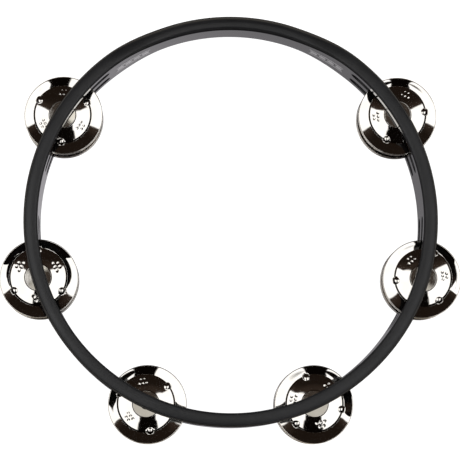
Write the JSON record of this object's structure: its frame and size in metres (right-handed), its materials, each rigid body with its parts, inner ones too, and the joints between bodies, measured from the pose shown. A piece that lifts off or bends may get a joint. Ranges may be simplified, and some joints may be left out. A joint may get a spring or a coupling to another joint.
{
  "type": "tambourine",
  "caption": "Headless hand tambourine: a moulded ring with a narrowed grip and pairs of cupped metal jingles that rattle on pins in slots through its wall.",
  "frame": {"origin": "centre of the bottom of the bounding box: the plane of the back rim, on which the tambourine lies flat; the ring's own centre is 5.1 mm towards the grip from it", "axes": "+Z along the ring's axis from the back rim to the front rim; +Y from the middle of the ring towards the hand grip; +X to the right seen from the front"},
  "size_m": [0.2838, 0.2639, 0.045],
  "materials": {
    "frame_plastic": "fine matte moulded plastic, near black, with a slight sheen on the inner wall",
    "jingle_nickel": "bright nickel plate over pressed steel, mirror-like",
    "pin_steel": "plain drawn steel wire"
  },
  "bodies": {
    "frame": {"frame": "frame_plastic"},
    "pin_1": {"pin_1": "pin_steel"},
    "pin_2": {"pin_2": "pin_steel"},
    "pin_3": {"pin_3": "pin_steel"},
    "pin_4": {"pin_4": "pin_steel"},
    "pin_5": {"pin_5": "pin_steel"},
    "pin_6": {"pin_6": "pin_steel"},
    "jingle_1_front_outer": {"jingle_1_front_outer": "jingle_nickel"},
    "jingle_1_front_inner": {"jingle_1_front_inner": "jingle_nickel"},
    "jingle_1_back_inner": {"jingle_1_back_inner": "jingle_nickel"},
    "jingle_1_back_outer": {"jingle_1_back_outer": "jingle_nickel"},
    "jingle_2_front_outer": {"jingle_2_front_outer": "jingle_nickel"},
    "jingle_2_front_inner": {"jingle_2_front_inner": "jingle_nickel"},
    "jingle_2_back_inner": {"jingle_2_back_inner": "jingle_nickel"},
    "jingle_2_back_outer": {"jingle_2_back_outer": "jingle_nickel"},
    "jingle_3_front_outer": {"jingle_3_front_outer": "jingle_nickel"},
    "jingle_3_front_inner": {"jingle_3_front_inner": "jingle_nickel"},
    "jingle_3_back_inner": {"jingle_3_back_inner": "jingle_nickel"},
    "jingle_3_back_outer": {"jingle_3_back_outer": "jingle_nickel"},
    "jingle_4_front_outer": {"jingle_4_front_outer": "jingle_nickel"},
    "jingle_4_front_inner": {"jingle_4_front_inner": "jingle_nickel"},
    "jingle_4_back_inner": {"jingle_4_back_inner": "jingle_nickel"},
    "jingle_4_back_outer": {"jingle_4_back_outer": "jingle_nickel"},
    "jingle_5_front_outer": {"jingle_5_front_outer": "jingle_nickel"},
    "jingle_5_front_inner": {"jingle_5_front_inner": "jingle_nickel"},
    "jingle_5_back_inner": {"jingle_5_back_inner": "jingle_nickel"},
    "jingle_5_back_outer": {"jingle_5_back_outer": "jingle_nickel"},
    "jingle_6_front_outer": {"jingle_6_front_outer": "jingle_nickel"},
    "jingle_6_front_inner": {"jingle_6_front_inner": "jingle_nickel"},
    "jingle_6_back_inner": {"jingle_6_back_inner": "jingle_nickel"},
    "jingle_6_back_outer": {"jingle_6_back_outer": "jingle_nickel"}
  },
  "joints": [
    {"name": "jingle_spin_1", "type": "hinge", "parent": "frame", "child": "pin_1", "pos_m": [0.10311, 0.07138, 0.0225], "axis": [0, 0, 1], "continuous": true},
    {"name": "jingle_spin_2", "type": "hinge", "parent": "frame", "child": "pin_2", "pos_m": [0.11764, -0.02945, 0.0225], "axis": [0, 0, 1], "continuous": true},
    {"name": "jingle_spin_3", "type": "hinge", "parent": "frame", "child": "pin_3", "pos_m": [0.05094, -0.10646, 0.0225], "axis": [0, 0, 1], "continuous": true},
    {"name": "jingle_spin_4", "type": "hinge", "parent": "frame", "child": "pin_4", "pos_m": [-0.05094, -0.10646, 0.0225], "axis": [0, 0, 1], "continuous": true},
    {"name": "jingle_spin_5", "type": "hinge", "parent": "frame", "child": "pin_5", "pos_m": [-0.11764, -0.02945, 0.0225], "axis": [0, 0, 1], "continuous": true},
    {"name": "jingle_spin_6", "type": "hinge", "parent": "frame", "child": "pin_6", "pos_m": [-0.10311, 0.07138, 0.0225], "axis": [0, 0, 1], "continuous": true},
    {"name": "rattle_1_front_outer", "type": "slide", "parent": "pin_1", "child": "jingle_1_front_outer", "axis": [0, 0, 1], "range_m": [0, 0.0007]},
    {"name": "rattle_1_front_inner", "type": "slide", "parent": "pin_1", "child": "jingle_1_front_inner", "axis": [0, 0, -1], "range_m": [0, 0.0007]},
    {"name": "rattle_1_back_inner", "type": "slide", "parent": "pin_1", "child": "jingle_1_back_inner", "axis": [0, 0, 1], "range_m": [0, 0.0007]},
    {"name": "rattle_1_back_outer", "type": "slide", "parent": "pin_1", "child": "jingle_1_back_outer", "axis": [0, 0, -1], "range_m": [0, 0.0007]},
    {"name": "rattle_2_front_outer", "type": "slide", "parent": "pin_2", "child": "jingle_2_front_outer", "axis": [0, 0, 1], "range_m": [0, 0.0007]},
    {"name": "rattle_2_front_inner", "type": "slide", "parent": "pin_2", "child": "jingle_2_front_inner", "axis": [0, 0, -1], "range_m": [0, 0.0007]},
    {"name": "rattle_2_back_inner", "type": "slide", "parent": "pin_2", "child": "jingle_2_back_inner", "axis": [0, 0, 1], "range_m": [0, 0.0007]},
    {"name": "rattle_2_back_outer", "type": "slide", "parent": "pin_2", "child": "jingle_2_back_outer", "axis": [0, 0, -1], "range_m": [0, 0.0007]},
    {"name": "rattle_3_front_outer", "type": "slide", "parent": "pin_3", "child": "jingle_3_front_outer", "axis": [0, 0, 1], "range_m": [0, 0.0007]},
    {"name": "rattle_3_front_inner", "type": "slide", "parent": "pin_3", "child": "jingle_3_front_inner", "axis": [0, 0, -1], "range_m": [0, 0.0007]},
    {"name": "rattle_3_back_inner", "type": "slide", "parent": "pin_3", "child": "jingle_3_back_inner", "axis": [0, 0, 1], "range_m": [0, 0.0007]},
    {"name": "rattle_3_back_outer", "type": "slide", "parent": "pin_3", "child": "jingle_3_back_outer", "axis": [0, 0, -1], "range_m": [0, 0.0007]},
    {"name": "rattle_4_front_outer", "type": "slide", "parent": "pin_4", "child": "jingle_4_front_outer", "axis": [0, 0, 1], "range_m": [0, 0.0007]},
    {"name": "rattle_4_front_inner", "type": "slide", "parent": "pin_4", "child": "jingle_4_front_inner", "axis": [0, 0, -1], "range_m": [0, 0.0007]},
    {"name": "rattle_4_back_inner", "type": "slide", "parent": "pin_4", "child": "jingle_4_back_inner", "axis": [0, 0, 1], "range_m": [0, 0.0007]},
    {"name": "rattle_4_back_outer", "type": "slide", "parent": "pin_4", "child": "jingle_4_back_outer", "axis": [0, 0, -1], "range_m": [0, 0.0007]},
    {"name": "rattle_5_front_outer", "type": "slide", "parent": "pin_5", "child": "jingle_5_front_outer", "axis": [0, 0, 1], "range_m": [0, 0.0007]},
    {"name": "rattle_5_front_inner", "type": "slide", "parent": "pin_5", "child": "jingle_5_front_inner", "axis": [0, 0, -1], "range_m": [0, 0.0007]},
    {"name": "rattle_5_back_inner", "type": "slide", "parent": "pin_5", "child": "jingle_5_back_inner", "axis": [0, 0, 1], "range_m": [0, 0.0007]},
    {"name": "rattle_5_back_outer", "type": "slide", "parent": "pin_5", "child": "jingle_5_back_outer", "axis": [0, 0, -1], "range_m": [0, 0.0007]},
    {"name": "rattle_6_front_outer", "type": "slide", "parent": "pin_6", "child": "jingle_6_front_outer", "axis": [0, 0, 1], "range_m": [0, 0.0007]},
    {"name": "rattle_6_front_inner", "type": "slide", "parent": "pin_6", "child": "jingle_6_front_inner", "axis": [0, 0, -1], "range_m": [0, 0.0007]},
    {"name": "rattle_6_back_inner", "type": "slide", "parent": "pin_6", "child": "jingle_6_back_inner", "axis": [0, 0, 1], "range_m": [0, 0.0007]},
    {"name": "rattle_6_back_outer", "type": "slide", "parent": "pin_6", "child": "jingle_6_back_outer", "axis": [0, 0, -1], "range_m": [0, 0.0007]}
  ]
}
